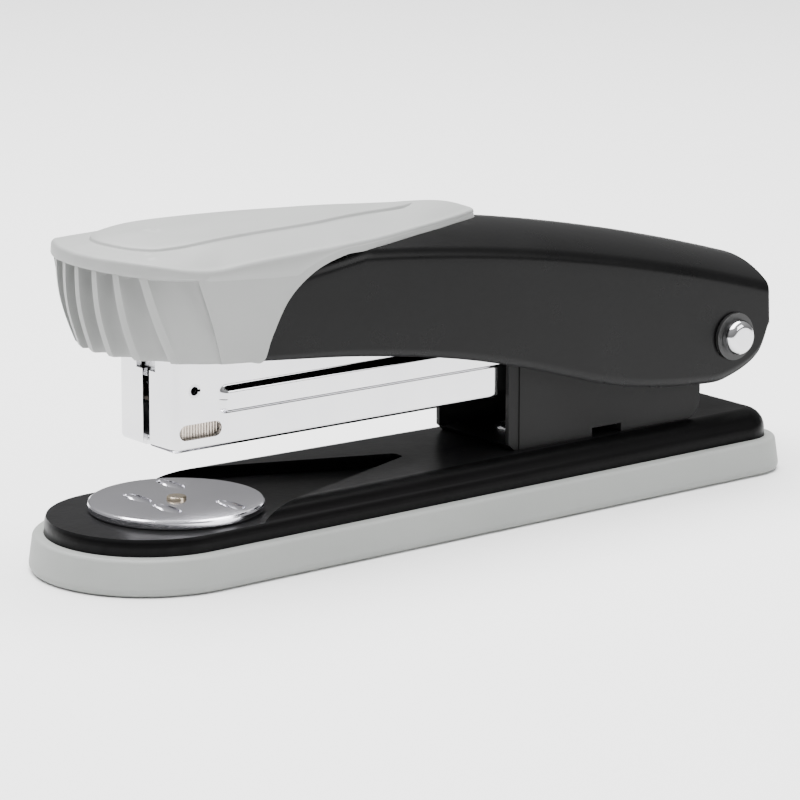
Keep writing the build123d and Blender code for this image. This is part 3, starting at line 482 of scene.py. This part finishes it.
def cap_stations():
    """Places round the cap as (index along the curves, groove depth, is it the corner groove)."""
    stations = [(0.0, 0.0, False)]
    spans = []
    for count in range(FRONT_GROOVES):
        low = find(lambda p: -p.y - (LAND_PITCH * count + LAND_HALF))
        high = find(lambda p: -p.y - (LAND_PITCH * (count + 1) - LAND_HALF))
        spans.append((low, high, FRONT_GROOVE, False))
    corner_low = find(lambda p: -p.y - (LAND_PITCH * FRONT_GROOVES + LAND_HALF))
    corner_high = find(lambda p: p.x - CORNER_GROOVE_END_X)
    spans.append((corner_low, corner_high, CORNER_GROOVE, True))
    for low, high, depth, corner in spans:
        stations.append(((stations[-1][0] + low) / 2, 0.0, corner))
        for part in GROOVE_STATIONS:
            profile = sqrt(max(0.0, 1 - abs(2 * part - 1) ** GROOVE_SQUARENESS))
            stations.append((lerp(low, high, part), depth * profile, corner))
    last = float(len(edge_curve) - 1)
    for n in range(1, TAIL_STATIONS + 1):
        stations.append((lerp(corner_high, last, n / TAIL_STATIONS), 0.0, False))
    return stations


def cap_outward(u):
    """Level direction out of the cap at a place round its edge."""
    last = len(edge_curve) - 1.0
    if u == 0.0:
        return Vector((-1, 0, 0))
    if u >= last:
        return Vector((1, 0, 0))
    ahead = sample(edge_curve, min(u + 0.5, last)) - sample(edge_curve, max(u - 0.5, 0.0))
    return Vector((ahead.y, -ahead.x, 0)).normalized()


def cap_side(edge, foot, outward, depth, corner):
    """The strip's points from the inner foot edge up the outside and over the lip to the rim."""
    into = Vector((1, 0, 0)) if not corner else (-outward).lerp(Vector((1, 0, 0)), 0.3).normalized()
    tall = max(0.0, edge.z - foot.z)
    lip = tall * LIP_SHARE if edge.x > NECK_X else min(edge.z - LIP_LOW_Z, tall * LIP_SHARE)
    front = smooth_step((FRONT_X - edge.x) / FRONT_FADE)
    overhang = LIP_OVERHANG * front
    inner = FOOT_THIN
    if edge.x <= NECK_X:
        inner += FOOT_EXTRA * smooth_step((FOOT_EXTRA_X - foot.x) / FOOT_EXTRA_FADE)
    side = [
        foot - outward * inner + Vector((0, 0, min(FOOT_RISE, tall * SHORT_SHARE))),
        foot - outward * inner,
        foot - outward * min(inner, FOOT_CHAMFER) + into * depth * (CORNER_FOOT if corner else 1.0),
    ]
    under_lip = edge - Vector((0, 0, lip)) - outward * overhang
    for t in WALL_ROWS:
        point = foot.lerp(under_lip, t) + outward * (BULGE * sin(pi * t) * front)
        cut = depth * smooth_step((GROOVE_TOP - t) / GROOVE_RUN_OUT)
        if corner:
            cut *= lerp(CORNER_FOOT, 1.0, smooth_step(t / CORNER_FULL))
        point = point + into * cut
        if t == 0.0:
            point.z += FOOT_CHAMFER
        side.append(point)
    side.append(under_lip + outward * (overhang * 0.6))
    side.append(under_lip + outward * overhang + Vector((0, 0, lip * 0.15)))
    radius = min(ROUND_OVER, tall * SHORT_SHARE)
    for step in range(ROUND_STEPS + 1):
        angle = step / ROUND_STEPS * pi / 2
        drop = Vector((0, 0, radius * (1 - sin(angle))))
        side.append(edge - outward * radius * (1 - cos(angle)) - drop)
    return side


def cap_top(edge, panel, rim):
    """The strip's points from the rim across the top, up the panel's edge and on to the spine."""
    rise = PANEL_STEP * min(1.0, abs(panel.y) / PANEL_FULL_HALF) if panel.x > PANEL_FULL_X else PANEL_STEP
    low = Vector((panel.x, panel.y, panel.z - rise))
    swell = SWELL_TONGUE * smooth_step((edge.x - SWELL_X) / SWELL_FADE) + SWELL
    top = []
    for row in range(1, FLAT_ROWS + 1):
        t = row / FLAT_ROWS
        point = rim.lerp(low, t)
        point.z += swell * sin(pi * t)
        top.append(point)
    spine = Vector((max(SPINE_FRONT, min(panel.x, SPINE_REAR)), 0.0, 0.0))
    spine.z = spine_height(spine.x)
    toward = Vector((spine.x - panel.x, spine.y - panel.y, 0))
    reach = max(toward.length, 0.001)
    toward = toward / reach
    step_in = min(PANEL_STEP_IN, reach * SHORT_SHARE)
    for share, inward in PANEL_EDGE:
        point = low + toward * (step_in * inward)
        point.z = lerp(low.z, panel.z, share)
        top.append(point)
    start = top[-1]
    for row in range(1, PANEL_ROWS + 1):
        t = row / PANEL_ROWS
        point = start.lerp(spine, t)
        point.z = lerp(start.z, spine.z, sin(t * pi / 2))
        top.append(point)
    return top


def cap_column(u, depth, corner):
    """One strip of the cap from its inner foot edge, up the outside, over the lip to the middle."""
    edge, foot, panel = sample(edge_curve, u), sample(foot_curve, u), sample(panel_curve, u)
    side = cap_side(edge, foot, cap_outward(u), depth, corner)
    return side + cap_top(edge, panel, side[-1])


def build_cap():
    columns = [cap_column(*station) for station in cap_stations()]
    near = [[raise_handle @ (p * MM) for p in column] for column in columns]
    far = [[raise_handle @ (mirrored(p) * MM) for p in column] for column in columns]
    ring = near + list(reversed(far))[1:-1]
    rows = len(ring[0])
    verts = [column[row] for row in range(rows) for column in ring]
    faces = grid_faces(rows, len(ring), closed=True)
    cap = new_piece("head_cap_cover", "handle", grey, verts, faces)
    cap.data.set_sharp_from_angle(angle=radians(32))
    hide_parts("head_cap")


build_cap()

# ------------------------------------------------------------------ handle shell
# Pressed sheet cover in the level handle frame: sides, rounded edges and crown, then the rear wall.
SHELL_HALF, SHELL_SHEET = 12.5, 1.1
CREST_X, CREST_Z, CREST_RADIUS = -11.4, 43.6, 390.0
CROWN_RADIUS, EDGE_RADIUS = 21.1, 2.5
SKIRT = [
    (-51.0, 0, 23.5), (-38.0, 0, 23.5), (-20.6, 0, 23.5), (-2.6, 0, 22.5), (13.3, 0, 20.3),
    (34.0, 0, 16.5), (50.7, 0, 16.2), (57.0, 0, 17.4), (62.6, 0, 20.8), (64.7, 0, 25.9),
]
SKIRT_STEPS = 12
SHELL_REAR_TOP = 64.0
FAN_FROM = 54.0
NOSE_SLOPE_X, NOSE_SLOPE_Z, NOSE_SLOPE = -21.0, 43.4, 0.24
SIDE_STEPS, EDGE_STEPS, CROWN_STEPS = 12, 8, 14
REAR_ROUNDING = ((0.25, 0.1), (0.45, 0.35), (0.55, 0.8))  # (back, inward) of each row round the rear edge
REAR_FLATTEN = 10
REAR_WALL = (0.75, 0.5, 0.25, 0.0)
SEAM_GAP = 0.005


def crest_height(x):
    """Top of the handle in the middle, which drops away under the cap."""
    crest = CREST_Z - (x - CREST_X) ** 2 / (2 * CREST_RADIUS)
    return min(crest, NOSE_SLOPE_Z + (x - NOSE_SLOPE_X) * NOSE_SLOPE) if x < NOSE_SLOPE_X else crest


def shell_section(skirt, top_x):
    """Near half of one cross-section, from the lower edge of the side to the middle of the crown."""
    top = crest_height(top_x)
    centre_y = SHELL_HALF - EDGE_RADIUS
    inner_radius = CROWN_RADIUS - EDGE_RADIUS
    centre_z = top - CROWN_RADIUS + sqrt(inner_radius**2 - centre_y**2)
    blend = atan2(sqrt(inner_radius**2 - centre_y**2), centre_y)
    points = []
    for row in range(SIDE_STEPS + 1):
        t = row / SIDE_STEPS
        points.append(Vector((lerp(skirt.x, top_x, t), -SHELL_HALF, lerp(skirt.z, centre_z, t))))
    for row in range(1, EDGE_STEPS + 1):
        angle = blend * row / EDGE_STEPS
        points.append(
            Vector((top_x, -centre_y - EDGE_RADIUS * cos(angle), centre_z + EDGE_RADIUS * sin(angle)))
        )
    start = pi / 2 - blend
    for row in range(1, CROWN_STEPS + 1):
        angle = start * (1 - row / CROWN_STEPS)
        points.append(
            Vector((top_x, -CROWN_RADIUS * sin(angle), top - CROWN_RADIUS + CROWN_RADIUS * cos(angle)))
        )
    return points


def shell_sections():
    """Near halves of the cross-sections from the nose to the rear, then the rows of the rear wall."""
    sections = []
    for skirt in through(SKIRT, SKIRT_STEPS):
        fan = max(0.0, (skirt.x - FAN_FROM) / (SKIRT[-1][0] - FAN_FROM))
        sections.append(shell_section(skirt, lerp(min(skirt.x, FAN_FROM), SHELL_REAR_TOP, fan)))
    last = sections[-1]
    middle_z = sum(p.z for p in last) / len(last)
    for back, inward in REAR_ROUNDING:
        narrower = 1 - inward / SHELL_HALF
        sections.append([
            Vector((p.x + back, p.y * narrower, lerp(p.z, middle_z, inward / REAR_FLATTEN))) for p in last
        ])
    wall = sections[-1]
    for part in REAR_WALL:
        sections.append([Vector((p.x, p.y * part, p.z)) for p in wall])
    return sections


def build_shell():
    rows = []
    for section in shell_sections():
        far = [mirrored(p) for p in reversed(section[:-1])]
        rows.append([raise_handle @ (p * MM) for p in section + far])
    verts = [p for row in rows for p in row]
    faces = [tuple(reversed(face)) for face in grid_faces(len(rows), len(rows[0]))]
    shell = new_piece("handle_cover", "handle", paint, verts, faces)
    seam = shell.modifiers.new("seam", "WELD")
    seam.merge_threshold = SEAM_GAP * MM
    sheet = shell.modifiers.new("sheet", "SOLIDIFY")
    sheet.thickness = SHELL_SHEET * MM
    sheet.offset = -1.0
    shell.data.set_sharp_from_angle(angle=radians(40))
    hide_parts("handle_shell")


build_shell()


# ------------------------------------------------------------------ anvil
ANVIL_X, ANVIL_TOP, ANVIL_THICK, ANVIL_RADIUS = -46.1, 9.9, 1.45, 13.65
ANVIL_MIDDLE, ANVIL_SEGMENTS = 1.15, 128
# Rounding of the disc: (in from the rim, up from the underside), (in from the rim, down from the top).
ANVIL_FOOT_EDGE = ((0.3, 0.0), (0.1, 0.1), (0.0, 0.3))
ANVIL_TOP_EDGE = ((0.0, 0.45), (0.12, 0.2), (0.35, 0.03), (0.6, 0.0))
SLOTS = ((-4.5, 3.96), (-4.5, -3.96), (4.5, 7.96), (4.5, -7.96))
SLOT_HALF_X, SLOT_HALF_Y = 1.25, 3.45
SLOT_ABOVE, SLOT_DEEP = 0.4, 1.55
SLOT_AROUND, SLOT_LEVELS = 48, 12


def lathe(profile, x, segments):
    """A profile of (radius, z) turned about a vertical line at x, y = 0, with flat ends."""
    verts = []
    for radius, z in profile:
        for n in range(segments):
            angle = 2 * pi * n / segments
            verts.append(Vector((x + radius * cos(angle), radius * sin(angle), z)) * MM)
    faces = grid_faces(len(profile), segments, closed=True)
    faces.append(tuple(reversed(range(segments))))
    faces.append(tuple(range((len(profile) - 1) * segments, len(profile) * segments)))
    return verts, faces


def slot_cutter():
    """Four rounded dishes that form the staple legs, as one mesh."""
    verts, faces = [], []
    for dx, y in SLOTS:
        first = len(verts)
        for depth_step in range(SLOT_LEVELS):
            swing = pi / 2 * depth_step / SLOT_LEVELS
            for n in range(SLOT_AROUND):
                angle = 2 * pi * n / SLOT_AROUND
                half_x = SLOT_HALF_X * (abs(cos(angle)) ** 0.9) * (1 if cos(angle) > 0 else -1)
                half_y = SLOT_HALF_Y * sin(angle)
                verts.append(
                    Vector((
                        ANVIL_X + dx + half_x * cos(swing),
                        y + half_y * cos(swing) ** 0.6,
                        ANVIL_TOP + SLOT_ABOVE - SLOT_DEEP * sin(swing) ** 0.8,
                    )) * MM
                )
        ring = grid_faces(SLOT_LEVELS, SLOT_AROUND, first, closed=True)
        faces += [tuple(reversed(face)) for face in ring]
        faces.append(tuple(range(first, first + SLOT_AROUND)))
        bottom = first + (SLOT_LEVELS - 1) * SLOT_AROUND
        faces.append(tuple(reversed(range(bottom, bottom + SLOT_AROUND))))
    return plain_object("slot_cutter", verts, faces)


def build_anvil():
    low = ANVIL_TOP - ANVIL_THICK
    profile = [(ANVIL_MIDDLE, low)]
    profile += [(ANVIL_RADIUS - inward, low + rise) for inward, rise in ANVIL_FOOT_EDGE]
    profile += [(ANVIL_RADIUS - inward, ANVIL_TOP - drop) for inward, drop in ANVIL_TOP_EDGE]
    profile += [(ANVIL_MIDDLE, ANVIL_TOP)]
    blank = plain_object("anvil_disc_blank", *lathe(profile, ANVIL_X, ANVIL_SEGMENTS))
    verts, faces = carve(blank, [slot_cutter()])
    anvil = new_piece("anvil_plate_turned", "anvil", anvil_chrome, verts, faces)
    anvil.data.set_sharp_from_angle(angle=radians(14))
    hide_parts("anvil_disc")


build_anvil()

# ------------------------------------------------------------------ magazine
MAG_FRONT, MAG_REAR, MAG_HALF, MAG_WALL = -51.5, 11.0, 7.5, 0.9
MAG_LOW, MAG_SIDE_TOP, MAG_NOSE_TOP = 19.0, 31.5, 35.0
MAG_HOOD_X, MAG_HOOD_SLOPE = -43.5, 5.0
MAG_CORNER, MAG_BOTTOM_RADIUS, MAG_FLANGE = 1.2, 0.8, 1.4
SLIT_HALF = 0.9
RIB_FRONT, RIB_LOW, RIB_HIGH, RIB_OUT, RIB_CORNER = -43.3, 24.1, 28.7, 0.8, 1.3
RIB_EDGE_HIGH, RIB_EDGE_LOW = 1.25, 0.75  # how far the rib's upper and lower flanks reach
WINDOW = (-46.7, 22.1, 7.8, 2.4)  # x, z, length and height of the window over the staples
PIN_HOLE = (-47.8, 28.4, 2.21, 2.2)
NOTCH = (-53.17, -50.03, -2.51, 2.49, 30.93, 36.1)  # driver's way in at the top of the nose
CUT_REACH = 12
INNER_FLOOR_FRONT, INNER_FLOOR_HALF, INNER_FLOOR_LIFT = -49.3, 6.6, 0.1
SHOULDER_Z = 29.6
CORNER_STEPS, BOTTOM_STEPS = 8, 6


def magazine_path():
    """Plan of the near half as (x, y, outward x, outward y), from the rear end to the slit."""
    xs = [MAG_REAR, 10.4, 8.0]
    xs += [6.0 - 2.0 * n for n in range(20)]  # plain stretch
    xs += [-34.0 - 0.8 * n for n in range(8)]  # closer towards the hood
    xs += [-40.5 - 0.25 * n for n in range(17)]  # closest at the end of the rib
    xs += [-45.5, -47.5, -49.3]
    path = [(x, -MAG_HALF, 0.0, -1.0) for x in xs]
    corner_x, corner_y = MAG_FRONT + MAG_CORNER, MAG_HALF - MAG_CORNER
    for n in range(CORNER_STEPS + 1):
        angle = pi / 2 * n / CORNER_STEPS
        out_x, out_y = -sin(angle), -cos(angle)
        path.append((corner_x + MAG_CORNER * out_x, -corner_y + MAG_CORNER * out_y, out_x, out_y))
    path += [(MAG_FRONT, y, -1.0, 0.0) for y in (-4.5, -2.8, -1.4, -SLIT_HALF)]
    return path


def rib_rise(x, z):
    """How far the side rib stands out at a place on the side."""
    centre_z, half_z = (RIB_LOW + RIB_HIGH) / 2, (RIB_HIGH - RIB_LOW) / 2
    dx, dz = RIB_FRONT + RIB_CORNER - x, abs(z - centre_z) - half_z + RIB_CORNER
    if dx <= 0:
        inside = RIB_CORNER - dz
    else:
        inside = RIB_CORNER - hypot(dx, max(dz, 0.0))
    width = RIB_EDGE_HIGH if z > centre_z else RIB_EDGE_LOW
    return RIB_OUT * smooth_step(inside / width)


def magazine_rows(path):
    """Rows of points from the top edge of the side down to the inner edge of the bottom flange."""
    zs = [29.4] + [28.9 - 0.1 * n for n in range(50)] + [23.6, 22.4, 21.0, MAG_LOW + MAG_BOTTOM_RADIUS]
    rows = []
    for part in (1.0, 0.5):
        row = []
        for x, y, nx, ny in path:
            slope = smooth_step((x - MAG_HOOD_X) / MAG_HOOD_SLOPE)
            row.append((x, y, lerp(SHOULDER_Z, lerp(MAG_NOSE_TOP, MAG_SIDE_TOP, slope), part)))
        rows.append(row)
    for z in zs:
        rows.append([
            (x, y + ny * (rib_rise(x, z) if abs(ny) == 1.0 else 0.0), z) for x, y, nx, ny in path
        ])
    for n in range(1, BOTTOM_STEPS + 1):
        angle = pi / 2 * n / BOTTOM_STEPS
        back = MAG_BOTTOM_RADIUS * (1 - cos(angle))
        low = MAG_LOW + MAG_BOTTOM_RADIUS * (1 - sin(angle))
        rows.append([(x - nx * back, y - ny * back, low) for x, y, nx, ny in path])
    rows.append([(x - nx * MAG_FLANGE, y - ny * MAG_FLANGE, MAG_LOW) for x, y, nx, ny in path])
    return rows


def magazine_blank():
    """Folded sheet of the magazine in two halves, which leave the slit of the nose between them."""
    near = magazine_rows(magazine_path())
    far = [[(x, -y, z) for x, y, z in reversed(row)] for row in near]
    verts, faces = [], []
    for rows in (near, far):
        faces += grid_faces(len(rows), len(rows[0]), len(verts))
        verts += [Vector(p) * MM for row in rows for p in row]
    blank = plain_object("magazine_blank", verts, faces)
    wall = blank.modifiers.new("wall", "SOLIDIFY")
    wall.thickness = MAG_WALL * MM
    wall.offset = -1.0
    wall.use_rim = True
    return blank


def slot_outline(x, z, length, height, steps=12):
    """Outline of a round-ended slot, as (x, z)."""
    radius = height / 2
    reach = length / 2 - radius
    outline = []
    for side in (1, -1):
        for n in range(steps + 1):
            angle = -pi / 2 + pi * n / steps + (0 if side == 1 else pi)
            outline.append((x + side * reach + radius * cos(angle), z + radius * sin(angle)))
    return outline


def build_magazine():
    cutters = [
        plain_object("cut_window", *prism_across(slot_outline(*WINDOW), CUT_REACH)),
        plain_object("cut_pin", *prism_across(slot_outline(*PIN_HOLE), CUT_REACH)),
        plain_object("cut_notch", *box_at(*NOTCH)),
    ]
    verts, faces = carve(magazine_blank(), cutters)
    floor_verts, floor_faces = box_at(
        INNER_FLOOR_FRONT, MAG_REAR, -INNER_FLOOR_HALF, INNER_FLOOR_HALF,
        MAG_LOW + INNER_FLOOR_LIFT, MAG_LOW + MAG_WALL,
    )
    faces += [tuple(i + len(verts) for i in face) for face in floor_faces]
    verts += floor_verts
    magazine = new_piece("magazine_cover", "magazine", chrome, verts, faces)
    magazine.data.set_sharp_from_angle(angle=radians(28))
    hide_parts("magazine_channel")


build_magazine()

# ------------------------------------------------------------------ floor, light and camera
FLOOR_REACH = 3
SKY_LOW, SKY_HIGH = (0.12, 0.5), (0.75, 1.0)  # (height on the sky, grey)
SKY_STRENGTH = 0.6


def build_floor():
    """Plain pale table top under the object."""
    mat, tree, shader, add = start_material("studio_floor")
    cloud = noise(tree, add, place(tree, add), 3)
    tone = ramp(tree, add, cloud, 0.3, 0.7, (0.86, 0.86, 0.86), (0.88, 0.88, 0.88))
    tree.links.new(tone, shader.inputs["Base Color"])
    shader.inputs["Roughness"].default_value = 0.6
    mesh = bpy.data.meshes.new("floor")
    lowest = cad_box[0][2]
    signs = ((-1, -1), (1, -1), (1, 1), (-1, 1))
    mesh.from_pydata([(x * FLOOR_REACH, y * FLOOR_REACH, lowest) for x, y in signs], [], [(0, 1, 2, 3)])
    mesh.materials.append(mat)
    floor = bpy.data.objects.new("floor", mesh)
    bpy.context.scene.collection.objects.link(floor)


def build_sky():
    """Soft studio surround, darker near the horizon."""
    world = bpy.data.worlds.new("studio")
    world.use_nodes = True
    sky = world.node_tree
    coords = sky.nodes.new("ShaderNodeTexCoord")
    split = sky.nodes.new("ShaderNodeSeparateXYZ")
    shade = sky.nodes.new("ShaderNodeValToRGB")
    for element, (height, tone) in zip(shade.color_ramp.elements, (SKY_LOW, SKY_HIGH)):
        element.position = height
        element.color = (tone, tone, tone, 1)
    sky.links.new(coords.outputs["Generated"], split.inputs["Vector"])
    sky.links.new(split.outputs["Z"], shade.inputs["Fac"])
    sky.links.new(shade.outputs["Color"], sky.nodes["Background"].inputs["Color"])
    sky.nodes["Background"].inputs["Strength"].default_value = SKY_STRENGTH
    bpy.context.scene.world = world


def softbox(name, place_at, aim, size, power):
    """A square area light at place_at that faces aim."""
    lamp = bpy.data.lights.new(name, "AREA")
    lamp.shape = "RECTANGLE"
    lamp.size, lamp.size_y = size
    lamp.energy = power
    obj = bpy.data.objects.new(name, lamp)
    obj.location = place_at
    obj.rotation_euler = (Vector(aim) - Vector(place_at)).to_track_quat("-Z", "Y").to_euler()
    bpy.context.scene.collection.objects.link(obj)


build_floor()
build_sky()
softbox("overhead", (-0.05, 0.1, 0.8), (0, 0, 0.02), (1.1, 0.9), 38.0)
softbox("side_key", (0.45, -0.8, 0.5), (-0.02, 0, 0.03), (0.5, 0.5), 4.0)

# The photo's viewpoint: a long lens that looks down a little on the near side.
AZIMUTH, ELEVATION, ROLL = radians(-37.85), radians(13.13), radians(0.13)
SENSOR, LENS = 36.0, 189.045
DISTANCE, AIM = 0.6668, Vector((-2.81, 0, 19.3)) * MM
back = Vector((sin(AZIMUTH) * cos(ELEVATION), -cos(AZIMUTH) * cos(ELEVATION), sin(ELEVATION)))
camera_data = bpy.data.cameras.new("camera")
camera_data.sensor_width = SENSOR
camera_data.lens = LENS
camera_data.clip_start = 0.01
camera = bpy.data.objects.new("camera", camera_data)
camera.location = AIM + back * DISTANCE
camera.rotation_euler = (
    back.to_track_quat("Z", "Y") @ Matrix.Rotation(ROLL, 3, "Z").to_quaternion()
).to_euler()
bpy.context.scene.collection.objects.link(camera)
bpy.context.scene.camera = camera
